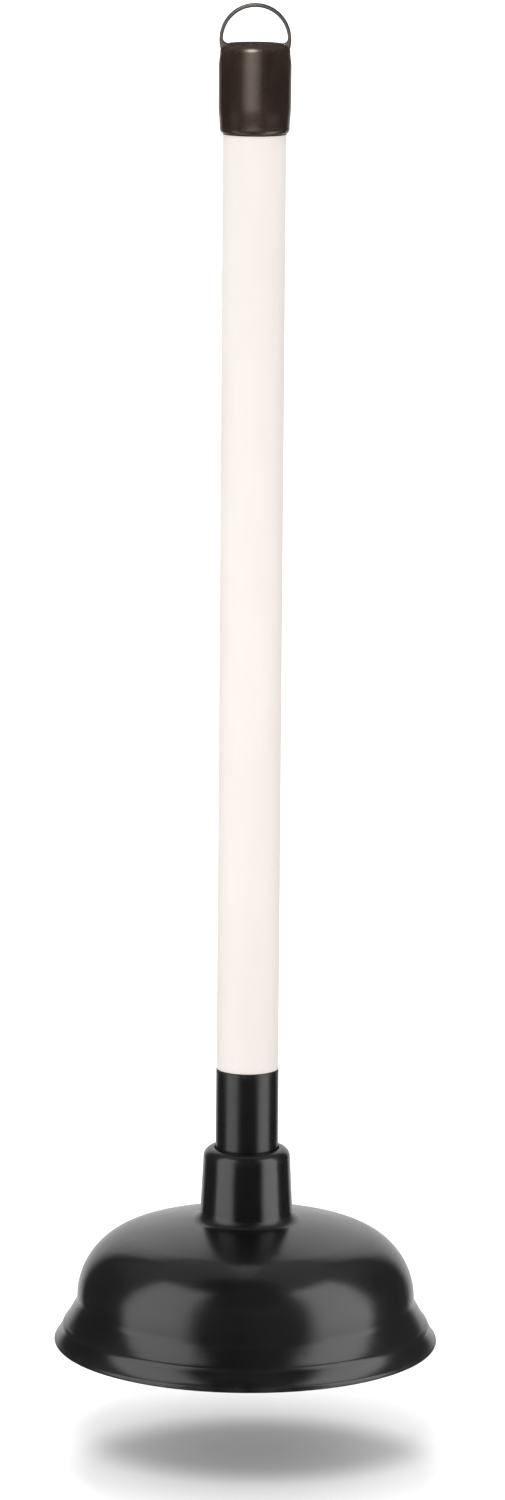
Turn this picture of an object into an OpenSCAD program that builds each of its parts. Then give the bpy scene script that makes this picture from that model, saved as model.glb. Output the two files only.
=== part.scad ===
// Toilet plunger: rubber cup, screw connector, film-covered stick and hanger cap.
// Millimetres. Z is up and runs along the handle. The origin is the centre of the rim's flat underside.

/* [Rubber cup] */
// Outer diameter of the rim
rim_d = 140; // [110:1:170]
// How far the skirt flares out past the bell's side wall
flare_w = 8.3; // [5:0.1:12]
// Height at which the side wall turns into the skirt
skirt_h = 15.7; // [11:0.5:19]
// Height of the bell's crown, measured on the centre line
bell_h = 47.6; // [40:0.1:60]
// How far the crown rises above the top of the shoulder's arc
crown_rise = 5; // [3:0.1:12]
// Thickness of the bell's wall
wall_t = 4; // [3:0.1:5]
// Height of the moulded ridge that runs round the skirt
ridge_h = 7.2; // [5:0.1:9]
// How far the moulded ridge stands out of the skirt
ridge_proud = 0.3; // [0.2:0.05:0.8]

/* [Neck] */
// Height of the neck above the bell's crown
neck_h = 25.7; // [22:0.1:30]
// Thickness of the rubber around the connector at the top of the neck
neck_wall = 4.4; // [3.4:0.1:6]
// How much wider the neck is at its foot, on each side
neck_taper = 1; // [0:0.1:2]
// Fillet between the neck's foot and the bell
foot_r = 4; // [2:0.5:6]

/* [Handle] */
// Diameter of the wooden stick
stick_d = 22; // [18:0.5:26]
// Length of stick that shows between the connector and the cap
shank_len = 339.3; // [250:0.1:600]
// Thickness of the shrunk film
film_t = 0.25; // [0.15:0.05:0.5]

/* [Connector] */
// Length of connector that shows above the neck
sleeve_len = 29.5; // [20:0.1:40]
// Wall of the sleeve around the stick's spigot
sleeve_wall = 2.4; // [1.8:0.1:3]
// Length of the screw below the neck's seat
thread_len = 22; // [18:0.5:26]
// Pitch of the screw
pitch = 4; // [3.5:0.25:5]
// Depth of the screw's thread
thread_depth = 1.4; // [1:0.1:1.8]

/* [Hanger cap] */
// Height of the cap, without its loop
cap_h = 32; // [26:0.1:42]
// Wall of the cap around the film at its widest
cap_wall = 1.6; // [1.2:0.1:3]
// How thick the loop is, seen from the front
loop_t = 1.25; // [1:0.05:3]
// How deep the loop is, seen from the side
loop_depth = 4.5; // [3:0.25:7]

/* [Hidden] */
$fn = 96;

// Bell: radii and heights of its section, all measured from the centre line and the floor.
rim_r = rim_d / 2;
wall_r = rim_r - flare_w;
edge_r = 1.2;
skirt_angle = atan2(flare_w, skirt_h - edge_r);
skirt_fillet = 6;
widest_z = skirt_h + skirt_fillet * tan(skirt_angle / 2);
shoulder_r = bell_h - widest_z - crown_rise;
shoulder_x = wall_r - shoulder_r;
drop = widest_z - bell_h;
// The crown's radius that meets the shoulder's arc smoothly and reaches bell_h on the centre line.
crown_r = (pow(shoulder_r, 2) - pow(shoulder_x, 2) - pow(drop, 2)) / (2 * (drop + shoulder_r));
crown_z = bell_h - crown_r;
join_angle = atan2(widest_z - crown_z, shoulder_x);
ridge_r = 3.4;

// Connector and neck: both follow the stick.
film_r = stick_d / 2 + film_t;
sleeve_proud = 0.15;
sleeve_r = film_r + sleeve_proud;
spigot_r = sleeve_r - sleeve_wall;
neck_r = sleeve_r + neck_wall;
neck_foot_r = neck_r + neck_taper;
neck_top = bell_h + neck_h;
neck_round = min(3.5, neck_wall - 0.6);
foot_z = crown_z + sqrt(pow(crown_r + foot_r, 2) - pow(neck_foot_r + foot_r, 2));
seat_depth = 2.2;
seat_z = neck_top - seat_depth;
seat_gap = 0.35;
thread_gap = 0.3;
thread_step = 1.65;
thread_r = sleeve_r - thread_step;
thread_root = thread_r - thread_depth;
thread_start = 2.6;
thread_turns = floor((thread_len - thread_start - 1.4) / pitch) + 1;
socket_clear = 2.5;
socket_floor = seat_z - thread_len - socket_clear;
boss_r = thread_r + wall_t;
boss_z = socket_floor - wall_t;
core_wall = 2.6;

// Handle: heights from the floor.
sleeve_top = neck_top + sleeve_len;
connector_floor = 3;
spigot_z = seat_z + connector_floor;
cap_z = sleeve_top + shank_len;
cap_top = cap_z + cap_h;
cap_roof = 3.6;
stick_top = cap_top - cap_roof;
film_top = stick_top - 3;
cap_gap = 0.02;
cap_bore = film_r + cap_gap;
cap_r = cap_bore + cap_wall;
cap_barrel = 0.45;
belly_foot = 9;
belly_top = 7;
loop_inset = 0.15;
loop_r = cap_r - loop_inset;
loop_lift = 1.4;
loop_z = cap_top + loop_lift;

// A point at distance r from [x, z], at the given angle.
function polar(x, z, r, angle) = [x + r * cos(angle), z + r * sin(angle)];

// Points along an arc. first = 1 leaves out the point that the line before it already ends on.
function arc(x, z, r, from, to, steps, first = 0) =
    [for (i = [first : steps]) polar(x, z, r, from + (to - from) * i / steps)];

// Outside of the cup from the top of the neck down to the rim, filled to the centre line.
module outer_section() {
    foot_x = neck_foot_r + foot_r;
    foot_angle = atan2(foot_z - crown_z, foot_x);
    ridge_inset = ridge_r - ridge_proud;
    ridge_half = acos(ridge_inset / ridge_r);
    ridge_x = rim_r - (ridge_h - edge_r) * tan(skirt_angle) - ridge_inset * cos(skirt_angle);
    ridge_z = ridge_h - ridge_inset * sin(skirt_angle);
    polygon(concat(
        [[0, 0], [0, neck_top]],
        arc(neck_r - neck_round, neck_top - neck_round, neck_round, 90, 0, 8),
        arc(foot_x, foot_z, foot_r, 180, 180 + foot_angle, 8),
        arc(0, crown_z, crown_r, foot_angle, join_angle, 6, 1),
        arc(shoulder_x, widest_z, shoulder_r, join_angle, 0, 20, 1),
        arc(wall_r + skirt_fillet, widest_z, skirt_fillet, 180, 180 + skirt_angle, 4, 1),
        arc(ridge_x, ridge_z, ridge_r, skirt_angle + ridge_half, skirt_angle - ridge_half, 8),
        arc(rim_r - edge_r, edge_r, edge_r, 2 * skirt_angle, 0, 4),
        arc(rim_r - edge_r, edge_r, edge_r, 0, -90, 6, 1)
    ));
}

// Hollow of the bell, one wall inside the outside all the way, and open below the rim.
module inner_section() {
    skirt_x = wall_r - wall_t + skirt_fillet;
    polygon(concat(
        [[0, -1], [rim_r - wall_t + (edge_r + 1) * tan(skirt_angle), -1]],
        arc(skirt_x, widest_z, skirt_fillet, 180 + skirt_angle, 180, 4),
        arc(shoulder_x, widest_z, shoulder_r - wall_t, 0, join_angle, 20, 1),
        arc(0, crown_z, crown_r - wall_t, join_angle, 90, 10, 1)
    ));
}

// Boss that hangs inside the bell under the socket, with a chamfered foot.
module boss_section() {
    polygon([
        [0, boss_z],
        [boss_r - 2, boss_z],
        [boss_r, boss_z + 2],
        [boss_r, bell_h - wall_t / 2],
        [0, bell_h - wall_t / 2]
    ]);
}

// Screw section from foot up to the seat: core radius, crest radius, extra width on both sides of each crest.
module screw_section(root, crest, spread, foot) {
    translate([0, foot]) square([root, seat_z - foot]);
    for (turn = [0 : thread_turns - 1]) {
        mid = seat_z - thread_start - turn * pitch;
        polygon([
            [root - 1, mid - 1.35 - spread],
            [root, mid - 1.35 - spread],
            [crest, mid - 0.55 - spread],
            [crest, mid + 0.55 + spread],
            [root, mid + 1.35 + spread],
            [root - 1, mid + 1.35 + spread]
        ]);
    }
}

// Rubber cup: bell, lip and threaded neck in one moulding. The boss is left standing in the hollow.
module rubber_cup() {
    color([0.035, 0.035, 0.037])
    rotate_extrude($fn = 180) {
        difference() {
            outer_section();
            difference() {
                inner_section();
                boss_section();
            }
            screw_section(thread_root + thread_gap, thread_r + thread_gap, thread_gap, socket_floor);
            translate([0, seat_z]) square([sleeve_r + seat_gap, seat_depth + 1]);
        }
    }
}

// Screw connector: sleeve that holds the stick, and the hollow screw below it.
module screw_connector() {
    edge = 0.5;
    color([0.045, 0.045, 0.047])
    rotate_extrude() {
        difference() {
            union() {
                screw_section(thread_root, thread_r, 0, seat_z - thread_len);
                polygon([
                    [0, seat_z],
                    [sleeve_r - edge, seat_z],
                    [sleeve_r, seat_z + edge],
                    [sleeve_r, sleeve_top - edge],
                    [sleeve_r - edge, sleeve_top],
                    [0, sleeve_top]
                ]);
            }
            translate([0, spigot_z]) square([spigot_r, sleeve_top]);
            translate([0, socket_floor]) square([thread_root - core_wall, seat_z - socket_floor - 1]);
        }
    }
}

// Wooden stick: stepped down at the foot to fit the connector, plain at the top.
module handle_stick() {
    bevel = 1;
    color([0.78, 0.62, 0.42])
    rotate_extrude() {
        polygon([
            [0, spigot_z],
            [spigot_r - bevel, spigot_z],
            [spigot_r, spigot_z + bevel],
            [spigot_r, sleeve_top],
            [stick_d / 2, sleeve_top],
            [stick_d / 2, stick_top - bevel],
            [stick_d / 2 - bevel, stick_top],
            [0, stick_top]
        ]);
    }
}

// Film: a thin tube shrunk on the stick, from the connector to well inside the cap.
module handle_film() {
    color([0.95, 0.91, 0.86])
    rotate_extrude() {
        translate([stick_d / 2, sleeve_top]) square([film_t, film_top - sleeve_top]);
    }
}

// Section of the cap: slightly barrelled, rounded at both edges, bored for the stick.
module cap_section() {
    low = 2;
    high = 3;
    waist = cap_r - cap_barrel;
    difference() {
        polygon(concat(
            [[0, cap_z]],
            arc(waist - low, cap_z + low, low, -90, 0, 6),
            [[cap_r, cap_z + belly_foot], [cap_r, cap_top - belly_top]],
            arc(waist - high, cap_top - high, high, 0, 90, 6),
            [[0, cap_top]]
        ));
        translate([0, cap_z - 1]) square([cap_bore, stick_top - cap_z + 1]);
    }
}

// Hanging loop: a flat ring standing on the cap, with a fillet at each root.
module hanging_loop() {
    fillet = 1.8;
    inner_r = loop_r - loop_t;
    root_z = -loop_lift;
    fillet_z = root_z + fillet;
    fillet_x = sqrt(pow(inner_r - fillet, 2) - pow(fillet_z, 2));
    translate([0, 0, loop_z])
    rotate([90, 0, 0])
    linear_extrude(loop_depth, center = true) {
        difference() {
            circle(r = loop_r);
            circle(r = inner_r);
            translate([-cap_r, root_z - cap_r - 2]) square([cap_r * 2, cap_r]);
        }
        for (side = [-1, 1]) {
            difference() {
                polygon([
                    [side * fillet_x, root_z - 1],
                    [side * fillet_x, fillet_z],
                    [side * fillet_x * inner_r / (inner_r - fillet), fillet_z * inner_r / (inner_r - fillet)],
                    [side * (inner_r + loop_t / 2), root_z],
                    [side * (inner_r + loop_t / 2), root_z - 1]
                ]);
                translate([side * fillet_x, fillet_z]) circle(r = fillet);
            }
        }
    }
}

// Hanger cap: closed cap and loop in one moulding.
module hanger_cap() {
    color([0.10, 0.075, 0.065])
    union() {
        rotate_extrude() cap_section();
        hanging_loop();
    }
}

rubber_cup();
screw_connector();
handle_stick();
handle_film();
hanger_cap();
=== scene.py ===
# %% [markdown]
# # Toilet plunger
#
# A force cup on a straight handle. The cup is one black rubber moulding, a black plastic connector
# screws into its neck, a turned stick in a cream film is pressed into the connector, and a dark brown
# cap with a thin hanging loop closes the top. The pieces' outer sizes and resting places are read from
# the measured CAD model, so the pieces made here land where the real ones fit together.

import math

import bpy
import numpy as np
from mathutils import Matrix, Vector


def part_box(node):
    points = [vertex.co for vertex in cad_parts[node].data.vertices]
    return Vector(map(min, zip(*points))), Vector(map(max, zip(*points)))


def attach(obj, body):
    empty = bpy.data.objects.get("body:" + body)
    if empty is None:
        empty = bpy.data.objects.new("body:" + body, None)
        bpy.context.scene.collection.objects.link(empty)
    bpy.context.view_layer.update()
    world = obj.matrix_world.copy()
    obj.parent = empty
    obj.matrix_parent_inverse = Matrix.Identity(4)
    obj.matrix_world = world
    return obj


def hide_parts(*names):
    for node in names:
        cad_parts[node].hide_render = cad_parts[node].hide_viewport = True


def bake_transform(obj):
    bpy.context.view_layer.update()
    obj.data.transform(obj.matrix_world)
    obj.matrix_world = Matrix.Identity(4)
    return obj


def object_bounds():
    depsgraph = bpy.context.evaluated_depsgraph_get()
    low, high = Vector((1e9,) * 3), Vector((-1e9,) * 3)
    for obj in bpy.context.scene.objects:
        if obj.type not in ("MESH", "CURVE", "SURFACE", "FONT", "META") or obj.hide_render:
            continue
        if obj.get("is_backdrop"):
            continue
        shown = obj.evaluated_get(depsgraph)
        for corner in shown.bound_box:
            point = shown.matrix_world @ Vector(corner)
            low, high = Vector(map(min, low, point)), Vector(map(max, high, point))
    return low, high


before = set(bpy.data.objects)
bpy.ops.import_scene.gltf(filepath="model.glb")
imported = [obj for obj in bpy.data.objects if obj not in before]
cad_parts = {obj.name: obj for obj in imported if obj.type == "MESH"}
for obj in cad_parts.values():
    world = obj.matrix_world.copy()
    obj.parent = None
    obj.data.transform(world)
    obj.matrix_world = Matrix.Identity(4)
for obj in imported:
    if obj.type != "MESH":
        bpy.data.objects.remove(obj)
cad_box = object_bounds()
MM = 0.001


def corners(node):
    """Lowest and highest corner of a CAD piece, in millimetres."""
    low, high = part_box(node)
    return np.array(low) / MM, np.array(high) / MM


cup_low, cup_high = corners("rubber_cup")
joint_low, joint_high = corners("screw_connector")
film_low, film_high = corners("handle_film")
stick_low, stick_high = corners("handle_stick")
cap_high = corners("hanger_cap")[1]
print("rim", 2 * cup_high[0], "mm across; whole plunger", cap_high[2] - cup_low[2], "mm tall")

# %% [markdown]
# ## Sections made of arcs and straight runs
#
# Nearly everything on a plunger is round about its handle, so a piece is known once its section is
# known. A section is a row of points, each a distance from the centre line and a height. It is put
# together from straight runs and arcs, the way a template for a lathe or a mould is filed.


# %% Draw a section
def arc(x, z, r, start, end, steps=12):
    """Points at distance r from (x, z), at even angles from start to end, in degrees."""
    t = np.radians(np.linspace(start, end, steps + 1))
    return np.stack([x + r * np.cos(t), z + r * np.sin(t)], axis=1)


def run(a, b, steps=6):
    """Points on the straight line from a to b: a + (b - a) s, with s even from 0 to 1."""
    s = np.linspace(0, 1, steps + 1)[:, None]
    return np.array(a) + (np.array(b) - np.array(a)) * s


def section(*parts):
    """The parts one after another, without the points that lie on the point before them."""
    points = np.concatenate(parts)
    step = np.linalg.norm(np.diff(points, axis=0), axis=1)
    return points[np.concatenate([[True], step > 1e-4])]


def smooth(x, low, high):
    """0 below low, 1 above high, and 3 s^2 - 2 s^3 between them, where s is the share of the way."""
    s = np.clip((x - low) / (high - low), 0, 1)
    return s * s * (3 - 2 * s)


def band(x, low, rise, fall, high):
    """0 below low, 1 from rise to fall, 0 above high, and smooth on both slopes."""
    return smooth(x, low, rise) * (1 - smooth(x, fall, high))


def bending(points, reach=1.2):
    """How sharply a section turns at each point: its turn in radians over its length, averaged over
    about reach millimetres and doubled. Edges come near 1, straight walls are 0 and hollows are less."""
    ahead = np.diff(points, axis=0)
    length = np.linalg.norm(ahead, axis=1)
    heading = np.unwrap(np.arctan2(ahead[:, 1], ahead[:, 0]))
    along = np.concatenate([[0], np.cumsum(length)])
    turn = np.concatenate([[0], -np.diff(heading), [0]])
    near = np.exp(-(((along[:, None] - along[None, :]) / reach) ** 2))
    return 2 * (near @ turn) / (reach * math.sqrt(math.pi))


print("a quarter circle of radius 10 turns by", round(float(bending(arc(0, 0, 10, 90, 0))[6] / 2), 2), "a mm")

# %% [markdown]
# ## From a grid of points to a skin
#
# A grid has rows along the section and columns round the handle. Its columns always close on
# themselves. Its rows either close too, as on a tube, or end in a point at both ends, as on a
# bottle. Each face is written so that it looks out of the material, and the volume that is printed
# comes out negative if a skin was ever put on inside out.

# %% Cover a grid and make a mesh
COLUMNS = 256
TURN = np.linspace(0, 2 * np.pi, COLUMNS, endpoint=False)[None, :]


def skin(points, tube=False):
    """Corners and sets of faces that cover a grid of points, rows by columns by three. Each four
    neighbours make a face, and unless it is a tube a fan of triangles closes each end."""
    rows, columns = points.shape[:2]
    here = np.arange(rows * columns).reshape(rows, columns)
    if tube:
        here = np.concatenate([here, here[:1]])
    side = np.roll(here, -1, axis=1)
    quads = np.stack([here[:-1], here[1:], side[1:], side[:-1]], axis=-1).reshape(-1, 4)
    listed = points.reshape(-1, 3)
    if tube:
        return listed, [quads]
    ends = np.stack([points[0].mean(axis=0), points[-1].mean(axis=0)])
    first, last = np.full(columns, rows * columns), np.full(columns, rows * columns + 1)
    fans = np.concatenate([
        np.stack([first, here[0], side[0]], axis=-1),
        np.stack([last, side[-1], here[-1]], axis=-1),
    ])
    return np.concatenate([listed, ends]), [quads, fans]


def turned(radius, height):
    """Points of a section turned about Z: (radius cos t, radius sin t, height) for t round one turn."""
    radius, height = np.broadcast_arrays(radius * np.ones_like(TURN), height * np.ones_like(TURN))
    return np.stack([radius * np.cos(TURN), radius * np.sin(TURN), height], axis=-1)


def piece(name, skins, bends):
    """A mesh object in millimetre skins. How exposed each corner is, and how far it lies in a hollow, are
    kept as its attributes worn and hollow, both from 0 to 1."""
    starts = np.cumsum([0] + [len(points) for points, _ in skins])
    points = np.concatenate([points for points, _ in skins]) * MM
    faces = []
    for (_, face_sets), start in zip(skins, starts):
        for face_set in face_sets:
            faces += (face_set + start).tolist()
    mesh = bpy.data.meshes.new(name)
    mesh.from_pydata(points.tolist(), [], faces)
    mesh.shade_smooth()
    for key, sign in (("worn", 1), ("hollow", -1)):
        share = np.clip(sign * np.concatenate(bends), 0, 1)
        mesh.attributes.new(key, "FLOAT", "POINT").data.foreach_set("value", share.astype(np.float32))
    made = bpy.data.objects.new(name, mesh)
    bpy.context.scene.collection.objects.link(made)
    mesh.calc_loop_triangles()
    corner = np.empty(len(mesh.loop_triangles) * 3, np.int32)
    mesh.loop_triangles.foreach_get("vertices", corner)
    a, b, c = points[corner].reshape(-1, 3, 3).transpose(1, 0, 2) / (10 * MM)
    volume = np.einsum("ij,ij->", a, np.cross(b, c)) / 6
    print(f"{name}: {len(a)} triangles, {volume:.2f} cubic centimetres")
    return made


def per_row(values, count=2):
    """One value a row, repeated for each column, with count more for the corners that close the ends."""
    return np.concatenate([np.repeat(values, COLUMNS), np.zeros(count)])


# %% [markdown]
# ## The rubber cup: its section
#
# The real cup is moulded in one from black rubber, upside down over a core. Its crown is nearly flat,
# its shoulder is one large arc, and below the side wall the skirt flares out to a soft lip. One thin
# ridge runs round the skirt: it is the step where the two halves of the mould meet. The neck leans in
# a little towards its top so that it leaves the mould, and its top edge is well rounded. Inside there
# is a boss, which gives the screw enough rubber to hold on to.

# %% Outer sizes of the cup
WALL, NECK_WALL, NECK_LENGTH, NECK_LEAN, CROWN_RISE = 4.0, 4.4, 25.7, 1.0, 5.0
rim_r, neck_top = cup_high[0], cup_high[2]
sleeve_r = joint_high[0]
bell_top = neck_top - NECK_LENGTH
flare, skirt_top, edge_r, fillet_r = 8.3, 15.7, 1.2, 6.0
wall_r = rim_r - flare
slope = math.atan2(flare, skirt_top - edge_r)
slope_deg = math.degrees(slope)
widest = skirt_top + fillet_r * math.tan(slope / 2)
shoulder_r = bell_top - widest - CROWN_RISE
shoulder_x = wall_r - shoulder_r
drop = widest - bell_top
crown_r = (shoulder_r**2 - shoulder_x**2 - drop**2) / (2 * (drop + shoulder_r))
crown_z = bell_top - crown_r
meet = math.degrees(math.atan2(widest - crown_z, shoulder_x))
neck_r, neck_round, foot_r = sleeve_r + NECK_WALL, 3.5, 4.0
neck_foot = neck_r + NECK_LEAN
foot_z = crown_z + math.sqrt((crown_r + foot_r) ** 2 - (neck_foot + foot_r) ** 2)
foot_deg = math.degrees(math.atan2(foot_z - crown_z, neck_foot + foot_r))
ridge_r, ridge_h, ridge_proud = 3.4, 7.2, 0.3
ridge_in = ridge_r - ridge_proud
ridge_half = math.degrees(math.acos(ridge_in / ridge_r))
ridge_x = rim_r - (ridge_h - edge_r) * math.tan(slope) - ridge_in * math.cos(slope)
ridge_z = ridge_h - ridge_in * math.sin(slope)
print("bell", round(2 * wall_r, 1), "mm wide, neck", round(2 * neck_r, 1), "mm wide")
print("crown radius", round(crown_r, 1), "mm")

# %% Inner sizes of the cup
PITCH, THREAD_DEPTH, THREAD_GAP = 4.0, 1.4, 0.3
SCREW_INSET, WELL_GAP, WELL_DEPTH, FLOOR_GAP = 1.65, 0.35, 2.2, 2.5
screw_r, screw_foot = sleeve_r - SCREW_INSET, joint_low[2]
seat_z, well_r = neck_top - WELL_DEPTH, sleeve_r + WELL_GAP
socket_r, socket_floor = screw_r - THREAD_DEPTH + THREAD_GAP, screw_foot - FLOOR_GAP
boss_r, boss_z = screw_r + WALL, socket_floor - WALL
shell_r = crown_r - WALL
boss_join = math.degrees(math.acos(boss_r / shell_r))
print("socket", round(2 * socket_r, 2), "mm wide and", round(seat_z - socket_floor, 2), "mm deep")

# %% Section of the cup
# A section starts a little off the axis, so that the fan that closes it has a rim. LIP_R is the small
# round on thin edges.
AXIS_R, LIP_R = 0.4, 0.4
bell_outside = [
    arc(neck_foot + foot_r, foot_z, foot_r, 180, 180 + foot_deg, 14),
    arc(0, crown_z, crown_r, foot_deg, meet, 14),
    arc(shoulder_x, widest, shoulder_r, meet, 0, 40),
    arc(wall_r + fillet_r, widest, fillet_r, 180, 180 + slope_deg, 10),
    arc(ridge_x, ridge_z, ridge_r, slope_deg + ridge_half, slope_deg - ridge_half, 16),
    arc(rim_r - edge_r, edge_r, edge_r, 2 * slope_deg, -90, 16),
]
bell_inside = [
    run((rim_r - edge_r, 0), (rim_r - WALL + LIP_R + edge_r * math.tan(slope), 0), 3),
    arc(
        rim_r - WALL + LIP_R / 2 + (edge_r - LIP_R) * math.tan(slope), LIP_R, LIP_R,
        -90, -180 + slope_deg, 4,
    ),
    arc(wall_r - WALL + fillet_r, widest, fillet_r, 180 + slope_deg, 180, 10),
    arc(shoulder_x, widest, shoulder_r - WALL, 0, meet, 34),
    arc(0, crown_z, shell_r, meet, boss_join, 14),
    run((boss_r - 1.2, boss_z + 0.6), (boss_r - 2, boss_z), 3),
    run((boss_r - 2, boss_z), (AXIS_R, boss_z), 8),
]
cup_section = section(
    run((AXIS_R, socket_floor), (socket_r, socket_floor), 6),
    run((socket_r, socket_floor), (socket_r, seat_z), 84),
    run((socket_r, seat_z), (well_r, seat_z), 4),
    run((well_r, seat_z), (well_r, neck_top - LIP_R), 3),
    arc(well_r + LIP_R, neck_top - LIP_R, LIP_R, 180, 90, 4),
    arc(neck_r - neck_round, neck_top - neck_round, neck_round, 90, 0, 14),
    run((neck_r, neck_top - neck_round), (neck_foot, foot_z), 16),
    *bell_outside,
    *bell_inside,
)
print("the cup's section has", len(cup_section), "points")

# %% [markdown]
# ## The rubber cup: its thread and its skin
#
# The socket's thread is a real helix: the same wave as the connector's screw, a little wider and
# deeper, so that the two run into each other with a small gap all round. The outside is never quite
# round on a soft moulding, so the wall wanders in by up to a tenth of a millimetre.

# %% Thread and cup
RIDGE_FOOT, RIDGE_FLANK, RUN_OUT = 1.35, 0.8, 1.5
thread_mid = seat_z - 2.6


def thread(height, spread):
    """How far the thread stands out: 1 on the ridge, 0 between ridges, straight flanks between. The
    ridge climbs one pitch in each turn, and it dies away at the seat and at the screw's foot."""
    turns = (height - thread_mid) / PITCH - TURN / (2 * np.pi)
    from_ridge = np.abs((turns + 0.5) % 1 - 0.5) * PITCH
    flank = np.clip((RIDGE_FOOT + spread - from_ridge) / RIDGE_FLANK, 0, 1)
    return flank * band(height, screw_foot - spread, screw_foot + RUN_OUT, seat_z - RUN_OUT, seat_z)


height = cup_section[:, 1:2]
in_socket = (np.abs(cup_section[:, :1] - socket_r) < 1e-6) & (height > socket_floor)
wander = 0.03 * np.sin(3 * TURN + 0.8) + 0.02 * np.sin(5 * TURN - 0.21 * height) + 0.05
outside = smooth(cup_section[:, :1], neck_foot, neck_foot + 12) * smooth(height, 0.2, 4)
radius = cup_section[:, :1] + in_socket * thread(height, THREAD_GAP) * THREAD_DEPTH - outside * wander
cup = piece("rubber_cup_moulding", [skin(turned(radius, height))], [per_row(bending(cup_section))])

# %% [markdown]
# ## Shader sums
#
# A finish is a sum of patterns. Written as nodes, even a short sum is hard to read, so one small
# class holds a socket and lets Python's own signs add the Math nodes. Colours are mixed by a Mix
# node, because a Math node would turn them grey.


# %% A socket that can be reckoned with
class Flow:
    """One output of a material's nodes. A plus or times sign adds a Math node and gives its output."""

    def __init__(self, tree, socket):
        """Hold a node tree and one output socket in it."""
        self.tree, self.socket = tree, socket

    def node(self, kind, settings=None, sockets=None, out=0):
        """Add a node of any type: its settings first, then the values or flows of its sockets."""
        made = self.tree.nodes.new("ShaderNode" + kind)
        for key, value in (settings or {}).items():
            setattr(made, key, value)
        for key, value in (sockets or {}).items():
            if isinstance(value, Flow):
                self.tree.links.new(value.socket, made.inputs[key])
            else:
                made.inputs[key].default_value = value
        return None if out is None else Flow(self.tree, made.outputs[out])

    def math(self, operation, first, second=0.0):
        """A Math node on two flows or values. A sine takes only the first."""
        return self.node("Math", {"operation": operation}, {0: first, 1: second})

    def __add__(self, other):
        """The sum of this and another flow or value."""
        return self.math("ADD", self, other)

    def __mul__(self, other):
        """The product of this and another flow or value."""
        return self.math("MULTIPLY", self, other)

    __radd__, __rmul__ = __add__, __mul__

    def between(self, low, high):
        """0 where this is under low, 1 where it is over high, and smooth between them."""
        levels = {"Value": self, "From Min": low, "From Max": high}
        return self.node("MapRange", {"interpolation_type": "SMOOTHSTEP"}, levels)

    def blend(self, first, second):
        """The first colour where this is 0 and the second where it is 1."""
        return self.node("Mix", {"data_type": "RGBA"}, {0: self, 6: first, 7: second}, out=2)

    def noise(self, size, detail=3.0, stretch=(1, 1, 1), shift=(0, 0, 0)):
        """Noise with lumps of about size metres. stretch makes them longer along an axis."""
        scale = tuple(1 / (size * s) for s in stretch)
        moved = self.node("Mapping", {}, {"Vector": self, "Scale": scale, "Location": shift})
        return self.node("TexNoise", {}, {"Vector": moved, "Scale": 1.0, "Detail": detail})

    def height(self):
        """The Z of this place, in metres."""
        return self.node("SeparateXYZ", {}, {0: self}, out=2)


def colour(red, green, blue):
    """A colour given as on a screen, 0 to 255, as the linear values that a shader needs."""
    share = np.array([red, green, blue]) / 255
    linear = np.where(share <= 0.04045, share / 12.92, ((share + 0.055) / 1.055) ** 2.4)
    return (*linear.tolist(), 1.0)


def begin(name, **fixed):
    """A material, its place flow in metres, its worn flow, and a way to feed its shader's sockets."""
    material = bpy.data.materials.new(name)
    material.use_nodes = True
    tree = material.node_tree
    shader = tree.nodes["Principled BSDF"]
    for key, value in fixed.items():
        shader.inputs[key.replace("_", " ")].default_value = value
    start = Flow(tree, None)
    place = start.node("TexCoord", out=3)
    worn = start.node("Attribute", {"attribute_name": "worn"}, out=2)

    def feed(**flows):
        """Link each flow to the shader's socket of that name."""
        for key, flow in flows.items():
            tree.links.new(flow.socket, shader.inputs[key.replace("_", " ")])

    return material, place, worn, feed


def put_on(made, material):
    """Give a piece its finish, in place of any that it has."""
    made.data.materials.clear()
    made.data.materials.append(material)
    print(made.name, "wears", material.name, "of", len(material.node_tree.nodes), "nodes")


print("mid grey on a screen is", round(colour(128, 128, 128)[0], 3), "in a shader")

# %% [markdown]
# ## Black rubber
#
# Moulded rubber has a soft sheen from the polished mould. It is not even: the carbon black clouds a
# little, handling dulls it in patches, edges are rubbed greyer, and its skin has a very fine grain.
# The sharpest hollow, at the neck's foot, is duller than the rest. Gloss lives in the roughness, so
# most of the pattern goes there and only a little into the colour.

# %% Rubber finish
rubber, place, worn, feed = begin("black_rubber", Specular_IOR_Level=0.5, IOR=1.5)
cloud = place.noise(0.045, 3)
mottle = place.noise(0.009, 4, shift=(3, 1, 7))
grain = place.noise(0.0009, 2)
sway = place.noise(0.018, 1.5, stretch=(1, 1, 0.6), shift=(6, 3, 2))
pores = place.noise(0.0003, 1)
dust = place.noise(0.0016, 2, shift=(5, 2, 1)).between(0.68, 0.8)
dull = place.node("Attribute", {"attribute_name": "hollow"}, out=2).between(0.36, 0.7)
tone = cloud.between(0.3, 0.7).blend(colour(13, 13, 14), colour(21, 21, 22))
rubbed = worn * mottle.between(0.35, 0.75) * 0.3 + dust * 0.03
feed(
    Base_Color=rubbed.blend(tone, colour(62, 61, 60)),
    Roughness=0.17 + cloud * 0.05 + mottle * 0.06 + worn * 0.06 + dust * 0.05 + dull * 0.3,
    Normal=place.node("Bump", {}, {
        "Strength": 0.35, "Distance": 0.0002,
        "Height": sway * 2 + mottle * 0.7 + grain * 0.2 + pores * 0.06,
    }),
)
put_on(cup, rubber)
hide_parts("rubber_cup")
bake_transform(cup)

# %% [markdown]
# ## The screw connector
#
# A connector is injection moulded, with a coarse screw that turns into the rubber and a sleeve that
# takes the end of the stick. The sleeve is as wide as the handle. Its edges have the small round
# that a mould leaves, and it narrows by a hair towards its open end. The screw is hollow, so that its
# wall is even and it cools without sinking.

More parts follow.
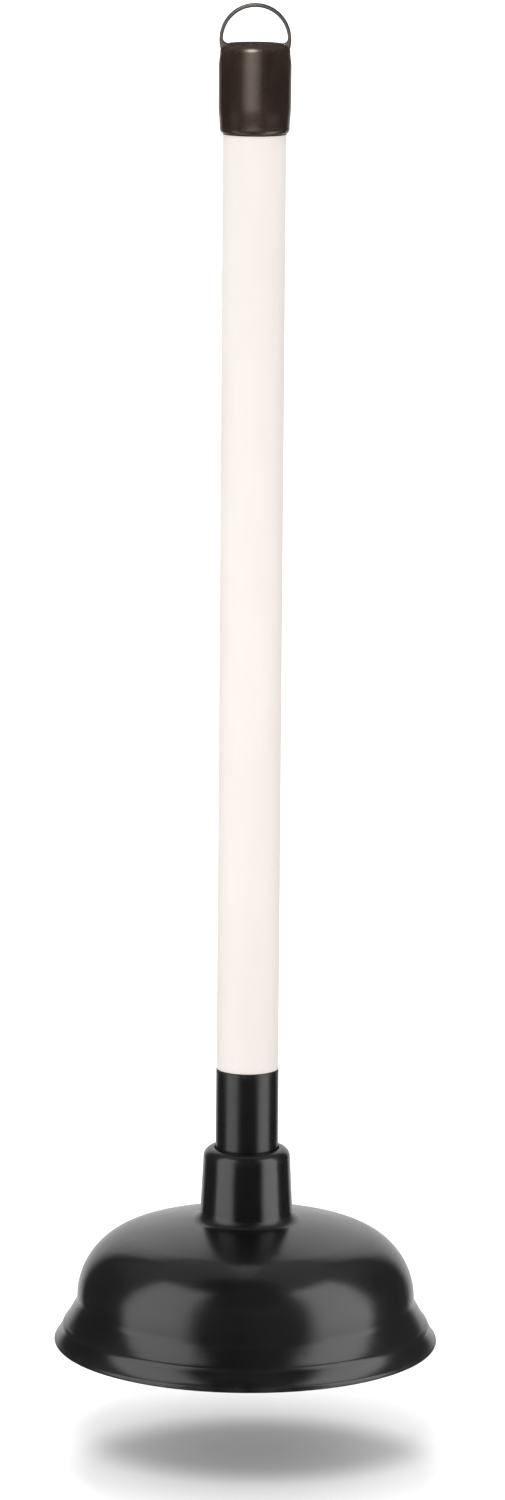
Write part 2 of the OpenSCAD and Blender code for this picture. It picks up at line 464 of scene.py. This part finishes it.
# %% Connector
SLEEVE_WALL, SCREW_WALL = 2.4, 2.6
sleeve_top = joint_high[2]
spigot_r, spigot_z = sleeve_r - SLEEVE_WALL, stick_low[2]
thread_root = screw_r - THREAD_DEPTH
core_r, edge, draft = thread_root - SCREW_WALL, 0.5, 0.05
connector_section = section(
    run((AXIS_R, spigot_z), (spigot_r, spigot_z), 6),
    run((spigot_r, spigot_z), (spigot_r, sleeve_top - 0.3), 16),
    arc(spigot_r + 0.3, sleeve_top - 0.3, 0.3, 180, 90, 4),
    arc(sleeve_r - draft - edge, sleeve_top - edge, edge, 90, 0, 8),
    run((sleeve_r - draft, sleeve_top - edge), (sleeve_r, seat_z + edge), 30),
    arc(sleeve_r - edge, seat_z + edge, edge, 0, -90, 8),
    run((thread_root, seat_z), (thread_root, screw_foot + LIP_R), 80),
    arc(thread_root - LIP_R, screw_foot + LIP_R, LIP_R, 0, -90, 4),
    run((core_r + 0.3, screw_foot), (core_r, screw_foot + 0.3), 2),
    run((core_r, screw_foot + 0.3), (core_r, seat_z - 1), 12),
    run((core_r, seat_z - 1), (AXIS_R, seat_z - 1), 6),
)
height = connector_section[:, 1:2]
on_screw = (np.abs(connector_section[:, :1] - thread_root) < 1e-6) & (height < seat_z)
radius = connector_section[:, :1] + on_screw * thread(height, 0.0) * THREAD_DEPTH
connector = piece(
    "screw_connector_moulding",
    [skin(turned(radius, height))],
    [per_row(bending(connector_section))],
)

# %% [markdown]
# ## Black plastic
#
# The connector is harder than the rubber, and its skin is a little duller. Faint lines run along it
# where it slid out of the mould, and its open edge is scuffed by the stick.

# %% Plastic finish
plastic, place, worn, feed = begin("black_plastic", Specular_IOR_Level=0.45, IOR=1.48)
cloud = place.noise(0.02, 3, shift=(2, 8, 3))
draw = place.noise(0.0008, 3, stretch=(1, 1, 30))
peel = place.noise(0.0012, 2)
tone = cloud.blend(colour(10, 10, 11), colour(17, 17, 18))
feed(
    Base_Color=(worn * draw.between(0.4, 0.7) * 0.35).blend(tone, colour(60, 60, 61)),
    Roughness=0.22 + cloud * 0.08 + draw * 0.06 + worn * 0.1,
    Normal=place.node("Bump", {}, {
        "Strength": 0.3, "Distance": 0.0001, "Height": draw * 0.5 + peel * 0.3,
    }),
)
put_on(connector, plastic)
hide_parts("screw_connector")
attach(connector, "handle")

# %% [markdown]
# ## The wooden stick
#
# The stick is a plain turned rod, stepped down at its foot, and none of it is seen once the film and
# the cap are on. The CAD piece already has that shape, so it stays and only gets a finish: pale wood
# with long fibres, darker late wood in rings, and short pores.

# %% Wood finish on the CAD stick
wood, place, worn, feed = begin("bare_wood", Specular_IOR_Level=0.3)
bend = place.noise(0.05, 2, stretch=(1, 1, 6))
phase = place.node("SeparateXYZ", {}, {0: place}, out=0) * 900 + bend * 9
rings = (phase.math("SINE", phase) + 1) * 0.5
fibre = place.noise(0.0006, 3, stretch=(1, 1, 40))
tone = rings.between(0.1, 0.95).blend(colour(222, 196, 156), colour(200, 168, 124))
feed(
    Base_Color=fibre.between(0.55, 0.75).blend(tone, colour(168, 132, 92)),
    Roughness=0.6 + fibre * 0.25,
    Normal=place.node("Bump", {}, {"Strength": 0.4, "Distance": 0.0001, "Height": fibre}),
)
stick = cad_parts["handle_stick"]
put_on(stick, wood)
print("stick from", round(stick_low[2], 1), "to", round(stick_high[2], 1), "mm")

# %% [markdown]
# ## The film on the stick
#
# A cream plastic film is shrunk over the stick to keep water out. Shrinking leaves it very slightly
# uneven: long shallow waves that follow the wood, and cloudy patches where it lies on the wood more
# or less closely. It is a thin tube with a real inside, open at both ends.

# %% Film
CUT, WAVE_DEPTH = 0.06, 0.03
film_r, film_inner = film_high[0], stick_high[0]
film_foot, film_top = film_low[2], film_high[2]
film_section = section(
    run((film_inner, film_top), (film_r - CUT, film_top), 2),
    run((film_r, film_top - CUT), (film_r, film_foot + CUT), 220),
    run((film_r - CUT, film_foot), (film_inner, film_foot), 2),
    run((film_inner, film_foot), (film_inner, film_top), 40)[:-1],
)
height = film_section[:, 1:2]
on_face = smooth(film_section[:, :1], film_inner + 0.1, film_r)
wave = 0.5 + 0.3 * np.sin(2 * TURN + height / 31) + 0.2 * np.sin(5 * TURN - height / 13)
film = piece(
    "handle_film_tube",
    [skin(turned(film_section[:, :1] - WAVE_DEPTH * on_face * wave, height), tube=True)],
    [per_row(np.zeros(len(film_section)), 0)],
)

# %% [markdown]
# ## Cream film
#
# The film is duller than the moulded plastics. A faint pink tint comes and goes along it, fine lines
# run with the stick, and just under the cap it is creased where the cap pushed it together.

# %% Film finish
# The shank is the open length of the handle. The cap's measured box starts 0.2 mm above the end of
# it, because there the bore cuts off the round on the cap's foot.
SHANK = 339.3
cap_foot = film_foot + SHANK
cream, place, worn, feed = begin("cream_film", Specular_IOR_Level=0.25)
patch = place.noise(0.02, 3, stretch=(1, 1, 2.5))
tint = place.noise(0.03, 2, stretch=(1, 1, 3), shift=(4, 4, 4))
lines = place.noise(0.0012, 3, stretch=(1, 1, 45))
near_cap = place.height().between((cap_foot - 17.3) * MM, (cap_foot - 0.3) * MM)
creases = place.noise(0.003, 2, stretch=(5, 5, 1), shift=(2, 7, 9)) * near_cap
peel = place.noise(0.0015, 2)
tone = patch.between(0.3, 0.7).blend(colour(212, 205, 199), colour(215, 209, 204))
feed(
    Base_Color=(tint.between(0.4, 0.8) * 0.5 + creases * 0.3).blend(tone, colour(211, 200, 196)),
    Roughness=0.5 + patch * 0.12 + lines * 0.08,
    Normal=place.node("Bump", {}, {
        "Strength": 0.25, "Distance": 0.0001, "Height": lines * 0.6 + peel * 0.3 + patch + creases * 6,
    }),
)
put_on(film, cream)
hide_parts("handle_film")
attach(film, "handle")

# %% [markdown]
# ## The hanger cap
#
# The cap is moulded in one with its loop. Its side swells a little in the middle, its lower edge
# tucks in under a soft round, and its top edge is rounder than it looks. The body is a turned skin
# with the blind bore that the stick is pushed into.

# %% Body of the cap
CAP_HEIGHT, CAP_GAP, BARREL, BORE_EDGE = 32.0, 0.02, 0.45, 0.15
cap_r, cap_top = cap_high[0], cap_foot + CAP_HEIGHT
bore_r, bore_top = film_r + CAP_GAP, stick_high[2]
waist, low_r, high_r = cap_r - BARREL, 2.0, 3.0
side_z = np.linspace(cap_top - high_r, cap_foot + low_r, 60)
swell = band(side_z, cap_foot + low_r, cap_foot + 10, cap_top - 8, cap_top - high_r)
# The foot's round runs on past the bore, so the section crosses itself there, against the film. To
# end the round where it meets the bore would be cleaner.
cap_section = section(
    run((AXIS_R, cap_top), (waist - high_r, cap_top), 12),
    arc(waist - high_r, cap_top - high_r, high_r, 90, 0, 12),
    np.stack([waist + BARREL * swell, side_z], axis=1),
    arc(waist - low_r, cap_foot + low_r, low_r, 0, -90, 12),
    run((bore_r + BORE_EDGE, cap_foot), (bore_r, cap_foot + BORE_EDGE), 2),
    run((bore_r, cap_foot + BORE_EDGE), (bore_r, bore_top), 24),
    run((bore_r, bore_top), (AXIS_R, bore_top), 8),
)
body = skin(turned(cap_section[:, :1], cap_section[:, 1:2]))
print("cap", round(2 * cap_r, 2), "mm wide and", CAP_HEIGHT, "mm tall, bored to", round(2 * bore_r, 2), "mm")

# %% [markdown]
# ## The hanging loop
#
# The loop is a thin strap bent over the cap, flush with the cap's sides and filleted into its top on
# the inside. It is a rounded strip carried along an arch. The outer face follows one circle. The
# inner face follows a smaller circle and then the fillets, so the strip grows thicker at its roots.

# %% Two faces of the loop
LOOP_T, LOOP_DEPTH, LOOP_INSET, LIFT, FILLET = 1.25, 4.5, 0.15, 1.4, 1.8
ROOT_DEPTH, LOOP_ROWS = 2.6, 180
loop_r, loop_z = cap_r - LOOP_INSET, cap_top + LIFT
inner_r = loop_r - LOOP_T
fillet_z = FILLET - LIFT
fillet_x = math.sqrt((inner_r - FILLET) ** 2 - fillet_z**2)
touch, root = math.atan2(fillet_z, fillet_x), math.atan2(-LIFT, fillet_x)


def inner_reach(angle):
    """Distance from the arch's centre to the strap's inner face: the inner circle's radius, or where
    the ray meets the fillet's circle, u.c + sqrt(f^2 - |c|^2 + (u.c)^2), on the last part."""
    mirrored = np.minimum(angle, np.pi - angle)
    toward = np.cos(mirrored) * fillet_x + np.sin(mirrored) * fillet_z
    inside = FILLET**2 - fillet_x**2 - fillet_z**2 + toward**2
    return np.where(mirrored > touch, inner_r, toward + np.sqrt(np.maximum(inside, 0)))


outer_root = math.asin(-(LIFT + ROOT_DEPTH) / loop_r)
share = np.sin(np.linspace(-1, 1, LOOP_ROWS) * np.pi / 2)


def line(lowest, reach):
    """Points at distance reach from the arch's centre, over the top from one root to the other, closer
    together near the roots. The first and last points are repeated one millimetre down and inwards."""
    angle = np.pi / 2 - (np.pi / 2 - lowest) * share
    points = np.stack([np.cos(angle), np.sin(angle)], axis=1) * reach(angle)[:, None]
    sunk = np.array([[0.5, -1.0], [-0.5, -1.0]])
    return np.concatenate([points[:1] + sunk[:1], points, points[-1:] + sunk[1:]])


outer_line = line(outer_root, lambda angle: loop_r + 0 * angle)
inner_line = line(root, inner_reach)
print("loop's opening", round(2 * inner_r, 1), "mm wide and", round(LIFT + inner_r, 1), "mm high")

# %% Strap between the two faces
CORNER, CORNER_STEPS = 0.4, 7
half = (outer_line - inner_line) / 2
half_t = np.linalg.norm(half, axis=1)[:, None]
lean = half / half_t
quarters = [np.linspace(90 * k, 90 * k + 90, CORNER_STEPS) for k in range(4)]
round_t = np.radians(np.concatenate(quarters))[None, :]
sign_t = np.repeat([[1, -1, -1, 1]], CORNER_STEPS, axis=1)
sign_d = np.repeat([[1, 1, -1, -1]], CORNER_STEPS, axis=1)
across = sign_t * (half_t - CORNER) + CORNER * np.cos(round_t)
deep = sign_d * (LOOP_DEPTH / 2 - CORNER) + CORNER * np.sin(round_t) + 0 * half_t
middle = (outer_line + inner_line) / 2
strap = np.stack([
    middle[:, :1] + lean[:, :1] * across,
    deep,
    loop_z + middle[:, 1:] + lean[:, 1:] * across,
], axis=-1)
loop = skin(strap)
cap = piece("hanger_cap_moulding", [body, loop], [
    per_row(bending(cap_section)),
    np.full(len(loop[0]), 0.3),
])

# %% [markdown]
# ## Dark brown plastic
#
# The cap is a warm brown black, and about as glossy as the connector. It clouds a little where the
# colour did not mix fully, and the loop, being thin and much bent, has gone greyer than the body.

# %% Cap finish
brown, place, worn, feed = begin(
    "brown_plastic", Specular_IOR_Level=0.5, IOR=1.5, Specular_Tint=(1, 0.88, 0.79, 1),
)
cloud = place.noise(0.012, 3, stretch=(1, 1, 2), shift=(1, 6, 2))
grain = place.noise(0.0008, 3)
draw = place.noise(0.001, 2, stretch=(1, 1, 25))
tone = cloud.between(0.3, 0.7).blend(colour(34, 24, 18), colour(46, 34, 27))
on_loop = place.height().between((cap_top - 0.5) * MM, (cap_top + 1.5) * MM)
tone = on_loop.blend(tone, colour(36, 36, 37))
feed(
    Base_Color=(worn * grain.between(0.4, 0.7) * 0.15).blend(tone, colour(92, 84, 78)),
    Roughness=0.2 + cloud * 0.08 + grain * 0.04 + worn * 0.03,
    Normal=place.node("Bump", {}, {
        "Strength": 0.3, "Distance": 0.00015, "Height": grain * 0.3 + draw * 0.3 + cloud,
    }),
)
put_on(cap, brown)
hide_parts("hanger_cap")
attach(cap, "handle")

# %% [markdown]
# ## Floor
#
# A wide pale floor, so far out that its edge is never seen. The plunger hangs a little above it, so
# its shadow lies under it as a soft pool. Black gloss would mirror the whole floor, so the floor is
# kept out of the reflections and the cards below take its place there.

# %% Pale floor
FLOOR_DROP, FLOOR_SIZE = 0.041, 60.0
floor_mesh = bpy.data.meshes.new("floor")
far = FLOOR_SIZE / 2
floor_mesh.from_pydata([
    (-far, -far, -FLOOR_DROP), (far, -far, -FLOOR_DROP), (far, far, -FLOOR_DROP), (-far, far, -FLOOR_DROP),
], [], [(0, 1, 2, 3)])
floor = bpy.data.objects.new("floor", floor_mesh)
paint = bpy.data.materials.new("pale_floor")
paint.use_nodes = True
matt = paint.node_tree.nodes["Principled BSDF"].inputs
matt["Base Color"].default_value = (0.95, 0.95, 0.95, 1)
matt["Roughness"].default_value = 0.9
matt["Specular IOR Level"].default_value = 0.0
floor_mesh.materials.append(paint)
bpy.context.scene.collection.objects.link(floor)
floor.visible_glossy = False
floor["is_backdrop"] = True
print("floor", round(FLOOR_DROP / MM), "mm under the rim")

# %% [markdown]
# ## Cards to be mirrored
#
# Black gloss shows its lights more than its own shape, so glowing cards are laid out as what it
# should mirror: a tall card close by on each side, a wide one behind, dim sky above, and darkness in
# front. Two small cards high in front give the cap its own highlight, and a dark flag under them keeps
# them off the cup. The cards are pieces of upright cylinders about the handle. Each glows by an
# attribute that fades towards its edges, and is seen in reflections only, so it lights nothing.

# %% Glowing cards
glow = bpy.data.materials.new("card_glow")
glow.use_nodes = True
glow.node_tree.nodes.clear()
source = Flow(glow.node_tree, None).node("Attribute", {"attribute_name": "glow"}, out=2)
light = source.node("Emission", {}, {"Color": (1, 1, 1, 1), "Strength": source})
light.node("OutputMaterial", {}, {0: light}, out=None)
glow.cycles.emission_sampling = "NONE"


def card(name, points, strength):
    """An open sheet through a grid of points in metres, seen only in reflections."""
    rows, columns = points.shape[:2]
    here = np.arange(rows * columns).reshape(rows, columns)
    quads = np.stack([here[:-1, :-1], here[1:, :-1], here[1:, 1:], here[:-1, 1:]], axis=-1)
    mesh = bpy.data.meshes.new(name)
    mesh.from_pydata(points.reshape(-1, 3).tolist(), [], quads.reshape(-1, 4).tolist())
    level = np.broadcast_to(strength, (rows, columns)).ravel().astype(np.float32)
    mesh.attributes.new("glow", "FLOAT", "POINT").data.foreach_set("value", level)
    mesh.materials.append(glow)
    made = bpy.data.objects.new(name, mesh)
    bpy.context.scene.collection.objects.link(made)
    for unseen in ("camera", "diffuse", "transmission", "volume_scatter", "shadow"):
        setattr(made, "visible_" + unseen, False)
    made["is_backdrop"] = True
    print(name, "glows up to", round(float(level.max()), 2))


def upright(radius, start, end, low, high):
    """Grid of a cylinder's piece: azimuths start to end in degrees from the front, heights low to high.
    A point lies at (radius sin azimuth, -radius cos azimuth, height)."""
    azimuth, tall = np.meshgrid(np.linspace(start, end, 60), np.linspace(low, high, 40))
    around = np.radians(azimuth)
    return np.stack([radius * np.sin(around), -radius * np.cos(around), tall], axis=-1), azimuth, tall


# %% Cards beside and behind the cup
BESIDE, BEHIND, BACK_GLOW = 0.26, 0.36, 0.95
for name, side, level, inner, outer in (
    ("side_card_left", -1, 2.45, 27, 79),
    ("side_card_right", 1, 3.1, 35, 84),
):
    grid, azimuth, tall = upright(BESIDE, 24 * side, 88 * side, -0.3, 0.42)
    fade = band(azimuth * side, inner, inner + 13, outer, outer + 3) * (1 - smooth(tall, 0.34, 0.39))
    card(name, grid, level * fade * (0.8 + 0.2 * smooth(tall, -0.06, 0.06)))
grid, azimuth, tall = upright(BEHIND, 130, 230, -0.4, 0.5)
card("back_card", grid, BACK_GLOW * band(azimuth, 136, 145, 215, 224) * (1 - smooth(tall, 0.4, 0.49)))

# %% Cards for the cap, and the flag under them
FRONT, FRONT_GLOW, LAMP, LAMP_GLOW, FLAG_Z = 0.5, 4.0, 0.4, 22.0, 0.375
grid, azimuth, tall = upright(FRONT, -46, 28, 0.378, 0.66)
card("front_card", grid, FRONT_GLOW * band(azimuth, -46, -18, -8, 28) * (1 - smooth(tall, 0.5, 0.66)))
grid, azimuth, tall = upright(LAMP, -42, 14, 0.6, 1.2)
card("cap_lamp", grid, LAMP_GLOW * band(azimuth, -42, -18, -10, 14) * smooth(tall, 0.6, 0.7))
out, around = np.meshgrid(np.linspace(0.07, 0.52, 14), np.radians(np.linspace(-60, 40, 26)))
flag = np.stack([out * np.sin(around), -out * np.cos(around), np.full_like(out, FLAG_Z)], axis=-1)
card("front_flag", flag, 0.0)

# %% Dim sky
SKY_R, SKY_LOW, SKY_RISE = 4.0, 0.07, 0.35
around, climb = np.meshgrid(np.radians(np.linspace(0, 360, 49)), np.radians(np.linspace(-90, 90, 61)))
sky = SKY_R * np.stack([
    np.cos(climb) * np.sin(around), -np.cos(climb) * np.cos(around), np.sin(climb),
], axis=-1)
card("sky_tent", sky, SKY_LOW + SKY_RISE * smooth(np.degrees(climb), 20, 65))

# %% [markdown]
# ## Light that is not mirrored
#
# Even white light from all round keeps the floor white and the film pale. Two wide suns make the
# shadow, one from in front and one from behind. Each throws it away from itself, and where the two
# overlap it is darkest, so the pool is short from front to back. A weak round lamp on the left gives
# the handle its gentle turn from light to shade. None of them is seen in the black gloss.

# %% White room
WHITE, ROOM_STRENGTH = (1, 1, 1, 1), 1.0
world = bpy.data.worlds.new("white_room")
bpy.context.scene.world = world
world.use_nodes = True
world.node_tree.nodes["Background"].inputs["Color"].default_value = WHITE
world.node_tree.nodes["Background"].inputs["Strength"].default_value = ROOM_STRENGTH
world.cycles_visibility.glossy = False
print("room strength", ROOM_STRENGTH)


# %% Suns and lamp
def hang(lamp, place, turn):
    """Put a lamp at a place in metres, turned by angles in radians, and keep it out of reflections."""
    made = bpy.data.objects.new(lamp.name, lamp)
    made.location, made.rotation_euler = place, turn
    made.visible_camera = made.visible_glossy = False
    bpy.context.scene.collection.objects.link(made)
    print(lamp.name, "turned by", [round(math.degrees(angle), 1) for angle in turn], "degrees")


SUN_ANGLE, SUN_STRENGTH = math.radians(22.5), 1.1
SUN_TILT, SUN_ASIDE = math.radians(37.5), math.radians(-7)
for side, name in ((-1, "front_sun"), (1, "back_sun")):
    sun = bpy.data.lights.new(name, "SUN")
    sun.angle, sun.energy = SUN_ANGLE, SUN_STRENGTH
    hang(sun, (0, 0, 0), (-SUN_TILT * side, SUN_ASIDE, 0))
lamp_place, lamp_aim = Vector((-1.6, -1.1, 0.5)), Vector((0, 0, 0.3))
lamp = bpy.data.lights.new("left_light", "AREA")
lamp.shape, lamp.size, lamp.energy = "DISK", 1.4, 1.6
hang(lamp, lamp_place, (lamp_aim - lamp_place).to_track_quat("-Z", "Y").to_euler())
bpy.context.scene.view_settings.view_transform = "Standard"

# %% [markdown]
# ## Camera
#
# The plunger is seen from a little above, from more than two metres away through a long lens, so
# that it hardly tapers. The camera looks down by ten degrees and leans by a fraction of a degree.

# %% Camera
CAMERA_HEIGHT, CAMERA_AWAY = 0.6298, 2.258
LOOK_DOWN, LOOK_ASIDE, ROLL = 10.28, -0.024, 0.45
lens = bpy.data.cameras.new("camera")
lens.lens, lens.sensor_width = 152.75, 36.0
lens.clip_start, lens.clip_end = 0.05, 200.0
camera = bpy.data.objects.new("camera", lens)
camera.location = (0, -CAMERA_AWAY, CAMERA_HEIGHT)
aside, down, roll = (math.radians(v) for v in (LOOK_ASIDE, 90 - LOOK_DOWN, ROLL))
turn = Matrix.Rotation(aside, 3, "Z") @ Matrix.Rotation(down, 3, "X") @ Matrix.Rotation(roll, 3, "Z")
camera.rotation_euler = turn.to_euler()
bpy.context.scene.collection.objects.link(camera)
bpy.context.scene.camera = camera
print("camera", tuple(round(v, 3) for v in camera.location), "lens", lens.lens, "mm")

# %% [markdown]
# ## Compare with the measured box
#
# The finished pieces must fill the same box as the CAD model, so the largest difference between the two boxes
# is printed.

# %% Largest difference between the boxes
seen_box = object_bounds()
difference = np.abs(np.array(cad_box) - np.array(seen_box)).max() / MM
print("largest difference", round(float(difference), 4), "mm")
